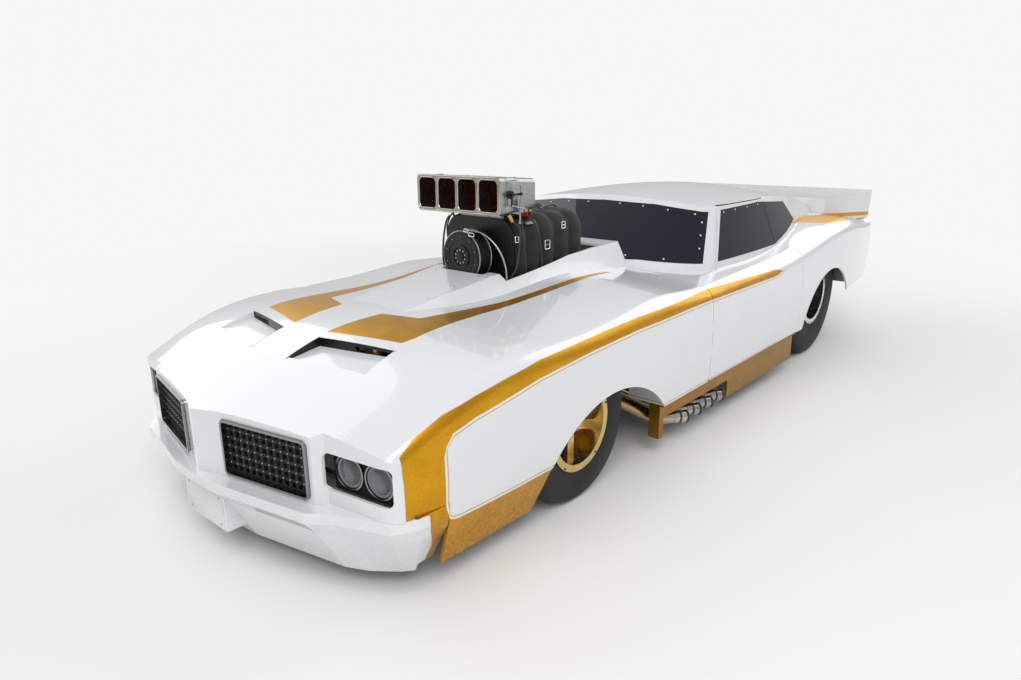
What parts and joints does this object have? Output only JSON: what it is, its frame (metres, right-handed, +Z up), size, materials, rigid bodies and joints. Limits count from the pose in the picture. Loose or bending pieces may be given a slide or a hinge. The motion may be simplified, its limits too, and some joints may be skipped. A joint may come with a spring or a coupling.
{
  "type": "drag racing car",
  "caption": "door-slammer drag racing car, white composite body with gold stripes, screw-blown engine and injector hat standing through the bonnet",
  "frame": {"origin": "on the ground, midway between nose and tail, on the car's centre plane", "axes": "+Z up, -Y to the front of the car, +X to its left side"},
  "size_m": [1.9304, 5.43, 1.4039],
  "materials": {
    "body_white": "gloss white composite body with gold pearl stripes",
    "skirt_gold": "gold flake paint",
    "tint_glass": "dark tinted polycarbonate",
    "frame_paint": "satin grey chromoly tube",
    "rim_gold": "anodised gold, machined",
    "rim_polished": "polished",
    "tyre_rubber": "matt rubber",
    "brushed_alloy": "brushed, welded",
    "cast_alloy": "cast, machined",
    "steel_pipe": "polished stainless tube",
    "blanket_black": "quilted restraint blanket",
    "black_plastic": "matt black",
    "seat_black": "black seat cover",
    "spindle_steel": "machined steel",
    "trim_chrome": "chromed trim",
    "clear_lens": "clear ribbed lens",
    "red_lens": "red moulded lens",
    "red_anodised": "dark red anodised plate",
    "pack_fabric": "black nylon pack"
  },
  "bodies": {
    "chassis": {"front_clip": "body_white", "rear_body": "body_white", "quarter_glass": "tint_glass", "windscreen": "tint_glass", "rear_window": "tint_glass", "front_bumper": "body_white", "spoiler": "body_white", "chassis_frame": "frame_paint", "front_arms": "frame_paint", "rear_axle": "spindle_steel", "floor_pan": "cast_alloy", "firewall": "cast_alloy", "wheel_tubs": "cast_alloy", "rockers": "skirt_gold", "engine": "cast_alloy", "driveshaft": "spindle_steel", "blower": "blanket_black", "belt_drive": "black_plastic", "injector_hat": "brushed_alloy", "headers": "steel_pipe", "seat": "seat_black", "dashboard": "black_plastic", "nose_trim": "trim_chrome", "grille_inserts": "black_plastic", "lamp_panels": "black_plastic", "lamp_lenses": "clear_lens", "tail_lamps": "red_lens", "hat_butterflies": "red_anodised", "parachutes": "pack_fabric"},
    "knuckle_left_body": {"knuckle_left": "spindle_steel"},
    "knuckle_right_body": {"knuckle_right": "spindle_steel"},
    "wheel_front_left": {"front_rim_left": "rim_gold", "front_tyre_left": "tyre_rubber"},
    "wheel_front_right": {"front_rim_right": "rim_gold", "front_tyre_right": "tyre_rubber"},
    "wheel_rear_left": {"rear_rim_left": "rim_polished", "rear_tyre_left": "tyre_rubber"},
    "wheel_rear_right": {"rear_rim_right": "rim_polished", "rear_tyre_right": "tyre_rubber"},
    "door_left_body": {"door_left": "body_white", "door_glass_left": "tint_glass"},
    "door_right_body": {"door_right": "body_white", "door_glass_right": "tint_glass"},
    "hatch": {"bonnet_hatch": "body_white"},
    "steering": {"steering_wheel": "black_plastic"}
  },
  "joints": [
    {"name": "steer_left", "type": "hinge", "parent": "chassis", "child": "knuckle_left_body", "pos_m": [0.655, -1.385, 0.356], "axis": [0, 0, 1], "range_deg": [-10, 10]},
    {"name": "steer_right", "type": "hinge", "parent": "chassis", "child": "knuckle_right_body", "pos_m": [-0.655, -1.385, 0.356], "axis": [0, 0, 1], "range_deg": [-10, 10]},
    {"name": "spin_front_left", "type": "hinge", "parent": "knuckle_left_body", "child": "wheel_front_left", "pos_m": [0.81, -1.385, 0.356], "axis": [1, 0, 0], "continuous": true},
    {"name": "spin_front_right", "type": "hinge", "parent": "knuckle_right_body", "child": "wheel_front_right", "pos_m": [-0.81, -1.385, 0.356], "axis": [1, 0, 0], "continuous": true},
    {"name": "spin_rear_left", "type": "hinge", "parent": "chassis", "child": "wheel_rear_left", "pos_m": [0.66, 1.535, 0.446], "axis": [1, 0, 0], "continuous": true},
    {"name": "spin_rear_right", "type": "hinge", "parent": "chassis", "child": "wheel_rear_right", "pos_m": [-0.66, 1.535, 0.446], "axis": [1, 0, 0], "continuous": true},
    {"name": "door_left_hinge", "type": "hinge", "parent": "chassis", "child": "door_left_body", "pos_m": [0.9535, -0.295, 0.525], "axis": [0, 0, -1], "range_deg": [0, 65]},
    {"name": "door_right_hinge", "type": "hinge", "parent": "chassis", "child": "door_right_body", "pos_m": [-0.9535, -0.295, 0.525], "axis": [0, 0, 1], "range_deg": [0, 65]},
    {"name": "hatch_hinge", "type": "hinge", "parent": "chassis", "child": "hatch", "pos_m": [0, -1.635, 0.86862], "axis": [1, 0, 0], "range_deg": [0, 75]},
    {"name": "steering_turn", "type": "hinge", "parent": "chassis", "child": "steering", "pos_m": [0.38, 0.155, 0.69], "axis": [0, 0.9701, 0.2425], "range_deg": [-90, 90]}
  ],
  "couplings": [
    {"joint": "steer_right", "follows": "steer_left", "ratio": 1},
    {"joint": "steering_turn", "follows": "steer_left", "ratio": -9}
  ]
}
